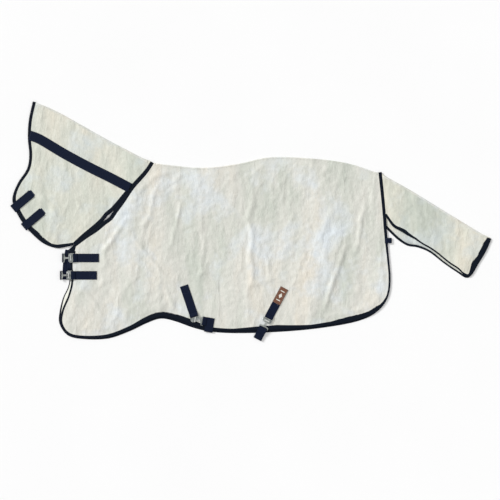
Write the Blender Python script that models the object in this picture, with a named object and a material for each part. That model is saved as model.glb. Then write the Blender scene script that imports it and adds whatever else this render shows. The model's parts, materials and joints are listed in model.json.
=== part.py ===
"""Fly sheet for a horse: a mesh body with a fixed neck cover and a tail flap, laid flat.

The sheet lies on its right side, folded along the back seam, head towards -X and back
towards +Y. Its right half lies on the floor, its left half lies on top, and the straps
and their metal closures lie on the left half. Metres, +Z up, origin at the middle of
the footprint on the floor.
"""
from math import atan2, cos, pi, radians, sin

import bmesh
import bpy
from mathutils import Matrix, Vector
from mathutils.geometry import intersect_line_line_2d

# Driving dimensions of the cut
BACK_LENGTH = 1.30        # withers to tail root, along the back
BODY_DROP = 0.935         # withers down to the hem
NECK_LENGTH = 0.757       # withers to poll, along the crest
NECK_RISE = radians(27.3)
TAIL_LENGTH = 0.717       # tail root to tip of the flap
TAIL_DEPTH = 0.260
TAIL_SLOPE = radians(30.8)

# Cloth, tape and webbing
PANEL = 0.0014            # thickness of the mesh panels
BINDING = 0.0020          # thickness of the edge binding
BINDING_WIDTH = 0.018
SEAM_WIDTH = 0.006
WEB = 0.0015              # thickness of the webbing
WEB_WIDTH = 0.048
BAND_WIDTH = 0.046
PATCH = 0.0012            # thickness of a hook-and-loop patch
PATCH_WIDTH = 0.038
LABEL = 0.0008
LABEL_LENGTH = 0.098
LEFT_FACING_WIDTH = 0.020
RIGHT_FACING_WIDTH = 0.042
FACING_TRIM = (0.070, 0.035)   # chest edge left free of the facing, below and above it
BAND_TRIM = (0.020, 0.024)     # neck band's ends to its outline's, at the poll and at the withers
GAP = 0.0003              # clearance between neighbouring pieces
MITRE = 1.3 * BINDING_WIDTH
CORNER_REACH = 0.06       # how far two edges are lengthened to find their corner

# Heights of the layers, from the floor up
TUCK_BASE = BINDING + GAP
LEFT_BASE = TUCK_BASE + WEB + GAP
LEFT_TOP = LEFT_BASE + BINDING
STRAP_BASE = LEFT_TOP + GAP
TUCK_MID = TUCK_BASE + WEB / 2
STRAP_MID = STRAP_BASE + WEB / 2
PATCH_BASE = LEFT_BASE + PANEL + GAP
PEEL_MID = PATCH_BASE + PATCH + GAP + WEB / 2
FOLD_HEIGHT = LEFT_TOP + 0.0005

# Metal closures: a slotted plate and a T-shaped hook
BAR_RADIUS = 0.00175
METAL = 0.0020
PLATE_HALF = 0.0265
PLATE_LENGTH = 0.030
CHAMFER = 0.008
WINDOW_AT = 0.020
WINDOW_HALF = 0.007
WEB_SLOT = 0.0035         # length of the slots that webbing passes through
SLOT_HALF = WEB_WIDTH / 2 + 0.0008
HEAD_HALF = 0.0145
NECK_HALF = 0.0045
HOOK_FLARE = 0.029        # window to where the hook's neck starts to widen
HOOK_SHOULDER = 0.035     # window to where the hook has its full width
HOOK_REACH = 0.043        # window to the hook's webbing bar
TURN = BAR_RADIUS + GAP + WEB / 2
BAR_HEIGHT = STRAP_MID + TURN
STEP_DOWN = METAL + GAP
DOUBLED_END = 0.020       # webbing folded back over a strap from its closure
LAP = 0.004               # how far a strap reaches under the webbing on its hook
LAP_MID = STRAP_MID + WEB + GAP
CHEST_LAP_MID = STRAP_MID - WEB - GAP
HOOK_TAIL = 0.0053        # where webbing leaves a hook underneath
HOOK_LEAD = 0.036         # where webbing leaves a hook on top
FRONT_HOOK_LEAD = 0.020

# Where the straps lie, as shares of the back length and the body drop
CHEST_STRAPS = {"upper": (-0.230, 0.574), "lower": (-0.239, 0.679)}
CHEST_BARS = {"upper": 0.0166, "lower": 0.0033}   # from the chest edge back to each plate's bar
FRONT_SURCINGLE = ((0.139, 0.741), (0.184, 0.926))
REAR_SURCINGLE = ((0.576, 0.756), (0.507, 0.936))
FRONT_HOOK_TURN = radians(62)
CHEST_DESCENT = 0.022     # from a chest hook's bar to where its webbing is down between the halves
CHEST_TUCK = 0.11         # webbing hidden between the two halves
SURCINGLE_TUCK = 0.30
FOLD_OVERHANG = 0.002     # how far the front surcingle's fold stands past the hem
REAR_LOOP_SLACK = 0.071   # from the rear hook's bar to the fold in its webbing
LIFT_LINE = ((-0.50, 0.772), (1.20, 0.515))
THROAT_STRAPS = {"upper": (0.692, 0.693), "lower": (0.551, 0.764)}
THROAT_HEADING = radians(40)
THROAT_LENGTH = 0.128
THROAT_WRAP = 0.008       # how far a throat strap stands past the edge it wraps
THROAT_RETURN = 0.014
THROAT_TUCK = 0.030
PATCH_LENGTH = 0.060
PATCH_OVERHANG = 0.008    # how far a patch stands past its strap's free end
TAIL_LOOP = 0.038         # how far the tail cord's loop reaches
TAIL_LOOP_WIDTH = 0.030

COLOURS = {
    "mesh": ((0.70, 0.69, 0.63, 1), 0.85, 0.0),
    "binding": ((0.012, 0.020, 0.038, 1), 0.70, 0.0),
    "webbing": ((0.018, 0.030, 0.075, 1), 0.65, 0.0),
    "label": ((0.20, 0.09, 0.04, 1), 0.60, 0.0),
    "metal": ((0.62, 0.66, 0.64, 1), 0.28, 1.0),
}


# Plane geometry --------------------------------------------------------------

def body(u, v):
    """A point of the body: u along the back from the withers, v down from them."""
    return Vector((u * BACK_LENGTH, -v * BODY_DROP))


def neck(u, v):
    """A point of the neck cover: u along the crest to the poll, v down to the throat."""
    return CREST_RUN * u + NECK_DROP * v


def tail(u, v):
    """A point of the tail flap: u along its top from the tail root, v down."""
    along = Vector((cos(TAIL_SLOPE), -sin(TAIL_SLOPE)))
    down = Vector((-sin(TAIL_SLOPE), -cos(TAIL_SLOPE)))
    return TAIL_ROOT + along * u * TAIL_LENGTH + down * v * TAIL_DEPTH


def smooth(points, steps=4):
    """A Catmull-Rom curve through the points, as a list of points."""
    ends = [2 * points[0] - points[1]] + points + [2 * points[-1] - points[-2]]
    path = []
    for a, b, c, d in zip(ends, ends[1:], ends[2:], ends[3:]):
        for n in range(steps):
            t = n / steps
            path.append((2 * b + (c - a) * t + (2 * a - 5 * b + 4 * c - d) * t ** 2
                         + (3 * b - a - 3 * c + d) * t ** 3) / 2)
    return path + [points[-1]]


def offset(path, distance):
    """The path moved to its right-hand side."""
    moved = []
    for n, point in enumerate(path):
        run = path[min(n + 1, len(path) - 1)] - path[max(n - 1, 0)]
        moved.append(point + Vector((run.y, -run.x)).normalized() * distance)
    return moved


def trim(path, start, end=0.0):
    """The path with a length taken off its start and off its end."""
    for length in (start, end):
        path = list(path)
        while length > 0 and (path[1] - path[0]).length <= length:
            length -= (path[1] - path[0]).length
            path.pop(0)
        path[0] = path[0].lerp(path[1], length / (path[1] - path[0]).length)
        path.reverse()
    return path


def crossing(first, second):
    """The last piece of one path that crosses another, as indexes and the point."""
    for i in range(len(first) - 1, 0, -1):
        for j in range(1, len(second)):
            hit = intersect_line_line_2d(first[i - 1], first[i], second[j - 1], second[j])
            if hit:
                return i, j, hit
    return None


def corner(first, second):
    """Two paths cut or lengthened to the corner where they meet."""
    first = first + [first[-1] + (first[-1] - first[-2]).normalized() * CORNER_REACH]
    second = [second[0] + (second[0] - second[1]).normalized() * CORNER_REACH] + second
    i, j, hit = crossing(first, second)
    return first[:i] + [hit], [hit] + second[j:]


def closed(*edges):
    """One outline from edges that run clockwise, each a path and its inset."""
    paths = [offset(path, inset) for path, inset in edges]
    for n in range(len(paths)):
        after = (n + 1) % len(paths)
        paths[n], paths[after] = corner(paths[n], paths[after])
    return [point for path in paths for point in path[:-1]]


def strip(path, near, far):
    """The outline of a tape between two distances to the right of a path."""
    return offset(path, near) + offset(path, far)[::-1]


def rectangle(start, end, width):
    """A straight band's outline."""
    return strip([start, end], -width / 2, width / 2)


def arc(centre, radius, start, stop, steps=8):
    """Points on an arc, angles in degrees."""
    angles = [radians(start + (stop - start) * n / steps) for n in range(steps + 1)]
    return [centre + radius * Vector((cos(a), sin(a))) for a in angles]


# Objects ---------------------------------------------------------------------

def collection(name):
    group = bpy.data.collections.new(name)
    bpy.context.scene.collection.children.link(group)
    return group


def material(name):
    """A plain finish of one of the named colours, new for each piece."""
    colour, roughness, metallic = COLOURS[name]
    finish = bpy.data.materials.new(name)
    finish.use_nodes = True
    shader = finish.node_tree.nodes["Principled BSDF"]
    shader.inputs["Base Color"].default_value = colour
    shader.inputs["Roughness"].default_value = roughness
    shader.inputs["Metallic"].default_value = metallic
    finish.diffuse_color = colour
    return finish


def extruded(name, outlines, depth, finish):
    """A flat outline, with any holes in it, given a depth: a 2D curve."""
    curve = bpy.data.curves.new(name, "CURVE")
    curve.dimensions = "2D"
    curve.fill_mode = "BOTH"
    curve.extrude = depth / 2
    for outline in outlines:
        spline = curve.splines.new("POLY")
        spline.points.add(len(outline) - 1)
        spline.use_cyclic_u = True
        for point, place in zip(spline.points, outline):
            point.co = (place.x, place.y, 0, 1)
    curve.materials.append(material(finish))
    piece = bpy.data.objects.new(name, curve)
    PARTS.objects.link(piece)
    return piece


def carry(piece, parent):
    """Parent a piece to its joint's empty, where it already lies."""
    bpy.context.view_layer.update()
    piece.parent = parent
    piece.matrix_parent_inverse = parent.matrix_world.inverted()


def plate(name, outlines, base, thickness, finish, parent):
    """A flat piece that lies at a height."""
    if isinstance(outlines[0], Vector):
        outlines = [outlines]
    piece = extruded(name, outlines, thickness, finish)
    piece.location.z = base + thickness / 2
    carry(piece, parent)
    return piece


def upright(start, heading):
    """The frame of a side view: X along the heading, Y up, Z across."""
    run = Vector((cos(heading), sin(heading), 0))
    across = Vector((sin(heading), -cos(heading), 0))
    turn = Matrix((run, Vector((0, 0, 1)), across)).transposed().to_4x4()
    return Matrix.Translation(start.to_3d()) @ turn


def webbing(name, side_path, start, heading, parent, width=WEB_WIDTH):
    """A strap, from its path seen from the side: distance along the heading and height."""
    piece = extruded(name, [strip(side_path, -WEB / 2, WEB / 2)], width, "webbing")
    piece.matrix_world = upright(start, heading)
    carry(piece, parent)
    return piece


def joint(name, point, height, heading, parent):
    """An empty on a joint's axis, X along a heading."""
    empty = bpy.data.objects.new(name, None)
    empty.matrix_world = Matrix.Translation((point.x, point.y, height)) @ Matrix.Rotation(heading, 4, "Z")
    PARTS.objects.link(empty)
    if parent:
        carry(empty, parent)
    bpy.context.view_layer.update()
    return empty


def as_mesh(piece):
    """The same piece as a mesh with its caps welded."""
    bpy.context.view_layer.update()
    seen = piece.evaluated_get(bpy.context.evaluated_depsgraph_get())
    mesh = bpy.data.meshes.new_from_object(seen)
    shape = bmesh.new()
    shape.from_mesh(mesh)
    bmesh.ops.remove_doubles(shape, verts=shape.verts, dist=1e-6)
    shape.to_mesh(mesh)
    shape.free()
    solid = bpy.data.objects.new("solid", mesh)
    solid.matrix_world = piece.matrix_world
    PARTS.objects.link(solid)
    name = piece.name
    bpy.data.objects.remove(piece)
    solid.name = name
    return solid


def join(target, other):
    """Join a second mesh onto the first with a Boolean, which moves with it."""
    carry(other, target)
    PARTS.objects.unlink(other)
    CUTTERS.objects.link(other)
    other.hide_render = True
    other.display_type = "WIRE"
    union = target.modifiers.new(other.name, "BOOLEAN")
    union.operation = "UNION"
    union.solver = "EXACT"
    union.object = other


# The cut of the sheet --------------------------------------------------------

CHEST_TOP = body(-0.339, 0.496)
CREST_RUN = Vector((-cos(NECK_RISE), sin(NECK_RISE))) * NECK_LENGTH
NECK_DROP = (CHEST_TOP - CREST_RUN * 0.2364) / 0.9167   # the cover ends at the top of the chest
TAIL_ROOT = body(1.0, 0.070)
BACK = smooth([body(0, 0), body(0.07, 0.012), body(0.217, 0.03), body(0.374, 0.006),
               body(0.504, -0.033), body(0.661, -0.03), body(0.843, 0), TAIL_ROOT])
NECKLINE = smooth([CHEST_TOP, body(-0.291, 0.441), body(-0.239, 0.387), body(-0.183, 0.314),
                   body(-0.139, 0.242), body(-0.091, 0.154), body(-0.03, 0.06), body(0, 0)])
REAR = [TAIL_ROOT, body(1.015, 0.284), body(1.026, 0.514), body(1.037, 0.707), body(1.022, 0.822)]
LEFT_HEM = [body(0.974, 0.901), body(0.896, 0.946), body(0.765, 0.979), body(0.6, 1.003), body(0.404, 1.013),
            body(0.27, 1.009), body(0.183, 0.979), body(0.104, 0.943), body(0.039, 0.928), body(-0.022, 0.955),
            body(-0.096, 1.006), body(-0.191, 1.052), body(-0.296, 1.058), body(-0.365, 1.04)]
RIGHT_HEM = [body(0.974, 0.904), body(0.896, 0.955), body(0.765, 0.991), body(0.6, 1.016), body(0.404, 1.028),
             body(0.27, 1.022), body(0.183, 0.997), body(0.104, 0.958), body(0.039, 0.94), body(-0.022, 0.967),
             body(-0.096, 1.016), body(-0.191, 1.061), body(-0.296, 1.064), body(-0.365, 1.043)]
LEFT_FRONT = [body(-0.398, 0.973), body(-0.391, 0.889), body(-0.365, 0.804), body(-0.35, 0.713),
              body(-0.354, 0.598), NECKLINE[0]]
RIGHT_FRONT = [body(-0.402, 0.973), body(-0.402, 0.901), body(-0.387, 0.816), body(-0.361, 0.731),
               body(-0.354, 0.598), NECKLINE[0]]
LEFT_EDGE = smooth(REAR + LEFT_HEM + LEFT_FRONT)
RIGHT_EDGE = smooth(REAR + RIGHT_HEM + RIGHT_FRONT)

CREST = smooth([neck(1, 0), neck(0.798, -0.018), neck(0.387, -0.002), body(0, 0)])
NECK_FRONT = smooth([NECKLINE[0], neck(0.284, 0.962), neck(0.339, 1.005), neck(0.437, 1.023), neck(0.542, 0.998),
                     neck(0.65, 0.95), neck(0.744, 0.881), neck(0.805, 0.803), neck(0.82, 0.669),
                     neck(0.808, 0.529), neck(0.84, 0.415), neck(0.908, 0.293), neck(0.963, 0.154), neck(1, 0)])
NECK_REAR = NECKLINE[::-1]
BAND_LINE = smooth([neck(0.93, 0.272), neck(0.825, 0.256), neck(0.616, 0.27), neck(0.412, 0.274),
                    neck(0.212, 0.271), neck(0.03, 0.273)])

TAIL_TOP = smooth([TAIL_ROOT, tail(0.252, -0.022), tail(0.622, -0.01), tail(1, 0)])
TAIL_END = [tail(1, 0), tail(1.013, 0.27), tail(1.012, 0.563)]
LEFT_TAIL_LOW = smooth(TAIL_END + [tail(1.002, 0.945), tail(0.88, 0.931), tail(0.756, 0.908),
                                   tail(0.628, 0.866), tail(0.518, 0.869), tail(0.396, 0.855),
                                   tail(0.297, 0.865), tail(0.20, 0.75), tail(0.17, 0.70)])
RIGHT_TAIL_LOW = smooth(TAIL_END + [tail(1.002, 0.965), tail(0.89, 0.988), tail(0.766, 0.965),
                                    tail(0.638, 0.923), tail(0.536, 0.963), tail(0.456, 1.047),
                                    tail(0.362, 1.037), tail(0.258, 0.97), tail(0.22, 0.93)])


def split(path, line):
    """The three stretches of an edge that a straight line crosses twice."""
    i, _, late = crossing(path, line)
    j, _, early = crossing(path[:i], line)
    return path[:j] + [early], [early] + path[j:i] + [late], [late] + path[i:]


LIFT = [body(*end) for end in LIFT_LINE]
REAR_UPPER, SKIRT_EDGE, FRONT_UPPER = split(LEFT_EDGE, LIFT)
TAIL_JOIN = LEFT_EDGE[:9]


# Pieces of the body ----------------------------------------------------------

def right_half(root):
    """The half that lies on the floor, with its bindings."""
    inset = BINDING_WIDTH + GAP
    outline = closed((BACK, SEAM_WIDTH + GAP), (RIGHT_EDGE, inset), (NECKLINE, inset))
    plate("right_body_panel", outline, 0, PANEL, "mesh", root)
    edge = trim(RIGHT_EDGE, GAP, GAP)
    plate("right_body_binding", strip(edge, 0, BINDING_WIDTH), 0, BINDING, "binding", root)
    collar = trim(NECKLINE, MITRE)
    plate("right_neckline_binding", strip(collar, GAP / 2, BINDING_WIDTH), 0, BINDING, "binding", root)
    facing = trim(RIGHT_EDGE[-9:], *FACING_TRIM)
    outline = strip(facing, -RIGHT_FACING_WIDTH, -GAP)
    plate("right_chest_facing", outline, 0, BINDING, "webbing", root)


def left_half(root, skirt):
    """The half that lies on top: its back part is fixed and its skirt lifts."""
    inset = BINDING_WIDTH + GAP
    lower = [FRONT_UPPER[0], REAR_UPPER[-1]]
    outline = closed((BACK, SEAM_WIDTH + GAP), (REAR_UPPER, inset), (lower[::-1], GAP / 2),
                     (FRONT_UPPER, inset), (NECKLINE, inset))
    plate("left_back_panel", outline, LEFT_BASE, PANEL, "mesh", root)
    outline = closed((lower, GAP / 2), (SKIRT_EDGE, inset))
    plate("left_skirt_panel", outline, LEFT_BASE, PANEL, "mesh", skirt)
    tapes = (("left_rear_binding", REAR_UPPER, root), ("left_front_binding", FRONT_UPPER, root),
             ("left_skirt_binding", SKIRT_EDGE, skirt))
    for name, path, parent in tapes:
        outline = strip(trim(path, GAP, GAP), 0, BINDING_WIDTH)
        plate(name, outline, LEFT_BASE, BINDING, "binding", parent)
    collar = trim(NECKLINE, MITRE)
    outline = strip(collar, GAP / 2, BINDING_WIDTH)
    plate("left_neckline_binding", outline, LEFT_BASE, BINDING, "binding", root)
    facing = trim(LEFT_EDGE[-9:], *FACING_TRIM)
    outline = strip(facing, -LEFT_FACING_WIDTH, -GAP)
    plate("left_chest_facing", outline, LEFT_BASE, BINDING, "webbing", root)
    outline = strip(trim(BACK, MITRE, MITRE), 0, SEAM_WIDTH)
    plate("back_seam", outline, 0, LEFT_BASE + PANEL, "mesh", root)


def tail_cord_loop(root):
    """A webbing tab on the rear edge that a tail cord passes through."""
    start = body(1.012, 0.469)
    turn = WEB / 2 + 2 * GAP
    path = [Vector((0, STRAP_MID))]
    path += arc(Vector((TAIL_LOOP, STRAP_MID - turn)), turn, 90, -90, 6)
    path.append(Vector((TAIL_LOOP * 0.7, STRAP_MID - 2 * turn)))
    webbing("tail_cord_loop", path, start, 0, root, TAIL_LOOP_WIDTH)


def neck_cover(fold):
    """Two layers of mesh joined at the crest, with bindings and a navy band each side."""
    inset = BINDING_WIDTH + GAP
    sides = (("left", LEFT_BASE), ("right", 0))
    for side, base in sides:
        outline = closed((NECK_REAR, inset), (NECK_FRONT, inset), (CREST, SEAM_WIDTH + GAP))
        plate(side + "_neck_panel", outline, base, PANEL, "mesh", fold)
        outline = strip(trim(NECK_FRONT, GAP, GAP), 0, BINDING_WIDTH)
        plate(side + "_neck_front_binding", outline, base, BINDING, "binding", fold)
        outline = strip(trim(NECK_REAR, GAP, MITRE), GAP / 2, BINDING_WIDTH)
        plate(side + "_neck_rear_binding", outline, base, BINDING, "binding", fold)
        outline = strip(trim(BAND_LINE, *BAND_TRIM), -BAND_WIDTH / 2, BAND_WIDTH / 2)
        plate(side + "_neck_band", outline, base + BINDING + GAP, WEB, "webbing", fold)
    outline = strip(trim(CREST, MITRE, MITRE), 0, SEAM_WIDTH)
    plate("crest_seam", outline, 0, LEFT_BASE + PANEL, "mesh", fold)


def throat_strap(name, inner, fold):
    """A strap from the right side that wraps the throat edge and sticks down on the left."""
    outward = Vector((-cos(THROAT_HEADING), -sin(THROAT_HEADING)))
    inner = neck(*inner)
    edge = crossing([inner, inner + outward * NECK_DROP.length], NECK_FRONT)[2]
    hinge = edge - outward * THROAT_RETURN
    turn = (PEEL_MID - TUCK_MID) / 2
    reach = THROAT_RETURN + THROAT_WRAP
    path = [Vector((-THROAT_TUCK, TUCK_MID))]
    path += arc(Vector((reach, TUCK_MID + turn)), turn, -90, 90)
    path.append(Vector((GAP, PEEL_MID)))
    webbing("throat_base_" + name, path, hinge, THROAT_HEADING + pi, fold)
    peel = joint("throat_peel_" + name, hinge, PEEL_MID + WEB / 2, THROAT_HEADING - pi / 2, fold)
    length = THROAT_LENGTH - THROAT_RETURN
    path = [Vector((0, PEEL_MID)), Vector((length, PEEL_MID))]
    webbing("throat_strap_" + name, path, hinge, THROAT_HEADING, peel)
    end = hinge - outward * (length + PATCH_OVERHANG)
    outline = rectangle(end + outward * PATCH_LENGTH, end, PATCH_WIDTH)
    plate("throat_patch_" + name, outline, PATCH_BASE, PATCH, "webbing", fold)


def tail_flap(fold):
    """Two layers joined along the top, bound along the end and the lower edges."""
    inset = BINDING_WIDTH + GAP
    sides = (("left", LEFT_BASE, LEFT_TAIL_LOW), ("right", 0, RIGHT_TAIL_LOW))
    for side, base, low in sides:
        root_edge = TAIL_JOIN[::-1]
        outline = closed((TAIL_TOP, SEAM_WIDTH + GAP), (low, inset), (root_edge, GAP))
        plate(side + "_tail_panel", outline, base, PANEL, "mesh", fold)
        edge, _ = corner(low, offset(root_edge, GAP))
        outline = strip(trim(edge, GAP, BINDING_WIDTH / 2), 0, BINDING_WIDTH)
        plate(side + "_tail_binding", outline, base, BINDING, "binding", fold)
    outline = strip(trim(TAIL_TOP, BINDING_WIDTH / 2, MITRE), 0, SEAM_WIDTH)
    plate("tail_seam", outline, 0, LEFT_BASE + PANEL, "mesh", fold)


# Straps and closures ---------------------------------------------------------

def looped_strap(name, start, bar, parent):
    """A strap stitched on the left half, its end looped over a closure's bar."""
    run = bar - start
    end = run.length
    path = [Vector((0, STRAP_MID))] + arc(Vector((end, BAR_HEIGHT)), TURN, -90, 115, 10)
    path.append(Vector((end - DOUBLED_END, STRAP_MID + WEB + GAP)))
    webbing(name, path, start, atan2(run.y, run.x), parent)


def slot_plate(name, bar, heading, flap):
    """The plate of a closure: a webbing slot and a window for the hook."""
    along = Vector((cos(heading), sin(heading)))
    across = Vector((-sin(heading), cos(heading)))

    def place(x, y):
        return bar + along * x + across * y

    half, slot = PLATE_HALF, SLOT_HALF
    outer = [(-BAR_RADIUS, -half), (PLATE_LENGTH - CHAMFER, -half), (PLATE_LENGTH, -half + CHAMFER),
             (PLATE_LENGTH, half - CHAMFER), (PLATE_LENGTH - CHAMFER, half), (-BAR_RADIUS, half)]
    web_slot = [(BAR_RADIUS, -slot), (BAR_RADIUS + WEB_SLOT, -slot),
                (BAR_RADIUS + WEB_SLOT, slot), (BAR_RADIUS, slot)]
    window = [(WINDOW_AT + x * WINDOW_HALF, y * WINDOW_HALF)
              for x, y in ((-1, -1), (1, -1), (1, 1), (-1, 1))]
    outlines = [[place(x, y) for x, y in ring] for ring in (outer, web_slot, window)]
    plate(name, outlines, BAR_HEIGHT - METAL / 2, METAL, "metal", flap)


def t_hook(name, centre, heading, swivel):
    """A hook whose T-shaped head has passed up through the plate's window."""
    along = Vector((cos(heading), sin(heading)))
    across = Vector((-sin(heading), cos(heading)))

    def place(x, y):
        return centre + along * x + across * y

    half, slot = PLATE_HALF, SLOT_HALF
    inner_slot = HOOK_REACH - BAR_RADIUS - WEB_SLOT
    frame = [(HOOK_FLARE, -2 * NECK_HALF), (HOOK_SHOULDER, -half), (HOOK_REACH + BAR_RADIUS, -half),
             (HOOK_REACH + BAR_RADIUS, half), (HOOK_SHOULDER, half), (HOOK_FLARE, 2 * NECK_HALF)]
    web_slot = [(inner_slot, -slot), (HOOK_REACH - BAR_RADIUS, -slot),
                (HOOK_REACH - BAR_RADIUS, slot), (inner_slot, slot)]
    outlines = [[place(x, y) for x, y in ring] for ring in (frame, web_slot)]
    hook = as_mesh(plate(name, outlines, BAR_HEIGHT - METAL / 2, METAL, "metal", swivel))
    carry(hook, swivel)
    side = [(-0.002, STEP_DOWN), (0.0015, STEP_DOWN), (0.0045, -STEP_DOWN), (0.0275, -STEP_DOWN),
            (0.0295, 0), (0.033, 0)]
    path = [Vector((x, BAR_HEIGHT + z)) for x, z in side]
    shank = extruded(name + "_shank", [strip(path, -METAL * 0.49, METAL * 0.49)], 2 * NECK_HALF, "metal")
    shank.matrix_world = upright(centre, heading)
    head = extruded(name + "_head", [[place(x, y) for x, y in (
        (-0.005, -HEAD_HALF), (0.001, -HEAD_HALF), (0.001, HEAD_HALF), (-0.005, HEAD_HALF))]], METAL, "metal")
    head.location.z = BAR_HEIGHT + STEP_DOWN
    for extra in (as_mesh(shank), as_mesh(head)):
        join(hook, extra)


def hook_loop(name, bar, heading, swivel, lead):
    """The end of the right half's strap, looped round the hook's bar.

    With no lead the webbing leaves underneath, back towards the sheet; with one it
    leaves on top, away from the plate, and its doubled end lies under it.
    """
    hub = Vector((0, BAR_HEIGHT))
    if lead:
        path = [Vector((lead, LAP_MID)), Vector((lead - LAP - GAP, LAP_MID)),
                Vector((lead * 0.34, BAR_HEIGHT + TURN / 2))]
        path += arc(hub, TURN, 75, 270, 10)
        path.append(Vector((lead * 0.45, BAR_HEIGHT - TURN)))
    else:
        path = arc(hub, TURN, 165, -90, 12) + [Vector((-HOOK_TAIL, BAR_HEIGHT - TURN))]
    webbing(name, path, bar, heading, swivel)


def closure(name, bar, heading, hook_turn, parent, lead=0.0):
    """A plate hinged on the left strap's loop, and a hook that swivels in its window."""
    flap = joint(name + "_flap", bar, BAR_HEIGHT, heading, parent)
    slot_plate(name + "_plate", bar, heading, flap)
    centre = bar + WINDOW_AT * Vector((cos(heading), sin(heading)))
    course = heading + hook_turn
    swivel = joint(name + "_swivel", centre, BAR_HEIGHT, course, flap)
    t_hook(name + "_hook", centre, course, swivel)
    hook_bar = centre + HOOK_REACH * Vector((cos(course), sin(course)))
    hook_loop(name + "_hook_webbing", hook_bar, course, swivel, lead)
    return hook_bar


def chest_closures(root):
    """Two straps across the front of the chest."""
    for name, place in CHEST_STRAPS.items():
        start = body(*place)
        edge = crossing([start, start - Vector((BACK_LENGTH, 0))], LEFT_EDGE)[2]
        bar = edge + Vector((CHEST_BARS[name], 0))
        looped_strap("left_chest_strap_" + name, start, bar, root)
        hook_bar = closure("chest_" + name, bar, pi, 0, root)
        path = [Vector((HOOK_TAIL - LAP, CHEST_LAP_MID)), Vector((HOOK_TAIL + LAP, CHEST_LAP_MID)),
                Vector((CHEST_DESCENT, TUCK_MID)), Vector((CHEST_DESCENT + CHEST_TUCK, TUCK_MID))]
        webbing("right_chest_strap_" + name, path, hook_bar, 0, root)


def folded_strap(name, top_start, fold, root):
    """The right half's surcingle: out over the hem, folded, and back between the halves."""
    run = fold - top_start
    end = run.length
    turn = (STRAP_MID - TUCK_MID) / 2
    path = [Vector((0, STRAP_MID))]
    path += arc(Vector((end, TUCK_MID + turn)), turn, 90, -90)
    path.append(Vector((end - SURCINGLE_TUCK, TUCK_MID)))
    webbing(name, path, top_start, atan2(run.y, run.x), root)


def surcingles(root, skirt):
    """Two straps at the hem: the rear one runs straight, the front one turns along the hem."""
    start, bar = body(*REAR_SURCINGLE[0]), body(*REAR_SURCINGLE[1])
    run = (bar - start).normalized()
    looped_strap("left_surcingle_rear", start, bar, skirt)
    outline = rectangle(start, start + run * LABEL_LENGTH, WEB_WIDTH - 0.002)
    plate("surcingle_label", outline, STRAP_BASE + WEB + GAP, LABEL, "label", skirt)
    heading = atan2(run.y, run.x)
    hook_bar = closure("surcingle_rear", bar, heading, 0, skirt, HOOK_LEAD)
    folded_strap("right_surcingle_rear", hook_bar + run * (HOOK_LEAD - LAP),
                 hook_bar + run * REAR_LOOP_SLACK, root)

    start, bar = body(*FRONT_SURCINGLE[0]), body(*FRONT_SURCINGLE[1])
    run = bar - start
    looped_strap("left_surcingle_front", start, bar, skirt)
    heading = atan2(run.y, run.x)
    hook_bar = closure("surcingle_front", bar, heading, FRONT_HOOK_TURN, skirt, FRONT_HOOK_LEAD)
    course = heading + FRONT_HOOK_TURN
    side = hook_bar + (FRONT_HOOK_LEAD - LAP + WEB_WIDTH / 2) * Vector((cos(course), sin(course)))
    down = Vector((sin(course), -cos(course)))
    edge = crossing([side, side + down * BODY_DROP / 4], RIGHT_EDGE)[2]
    folded_strap("right_surcingle_front", side - down * WEB_WIDTH / 2, edge + down * FOLD_OVERHANG, root)


# Assembly --------------------------------------------------------------------

def fold(name, path, parent):
    """A straight hinge in the cloth, between the ends of an edge."""
    run = path[-1] - path[0]
    return joint(name, (path[0] + path[-1]) / 2, FOLD_HEIGHT, atan2(run.y, run.x), parent)


def stand_on_origin(root):
    """Move the sheet so that the middle of its footprint is over the origin."""
    bpy.context.view_layer.update()
    graph = bpy.context.evaluated_depsgraph_get()
    places = []
    for piece in PARTS.objects:
        if piece.type == "EMPTY":
            continue
        seen = piece.evaluated_get(graph)
        mesh = seen.to_mesh()
        places += [piece.matrix_world @ vertex.co for vertex in mesh.vertices]
        seen.to_mesh_clear()
    for axis in (0, 1):
        values = [place[axis] for place in places]
        root.location[axis] = -(min(values) + max(values)) / 2


def build():
    root = joint("fly_sheet_root", body(0, 0), 0, 0, None)
    neck_fold = fold("neck_fold", NECKLINE, root)
    tail_fold = fold("tail_flap_fold", TAIL_JOIN, root)
    skirt = fold("left_skirt_lift", [REAR_UPPER[-1], FRONT_UPPER[0]], root)
    right_half(root)
    left_half(root, skirt)
    tail_cord_loop(root)
    neck_cover(neck_fold)
    for name, inner in THROAT_STRAPS.items():
        throat_strap(name, inner, neck_fold)
    tail_flap(tail_fold)
    chest_closures(root)
    surcingles(root, skirt)
    stand_on_origin(root)


for old in list(bpy.data.objects):
    bpy.data.objects.remove(old, do_unlink=True)
PARTS = collection("fly_sheet")
CUTTERS = collection("cutters")
build()
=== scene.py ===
"""Looks of the fly sheet: mesh cloth, bindings, webbing straps and metal closures, laid flat on a pale floor.

Every piece takes its outline, its heights and its places from the CAD nodes it stands for.
Metres, +Z up, head towards -X, back towards +Y.
"""
import json
from math import pi, radians, sin

import bmesh
import bpy
import numpy as np
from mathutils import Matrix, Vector, noise
from mathutils.geometry import delaunay_2d_cdt
from numpy.linalg import norm


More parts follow.
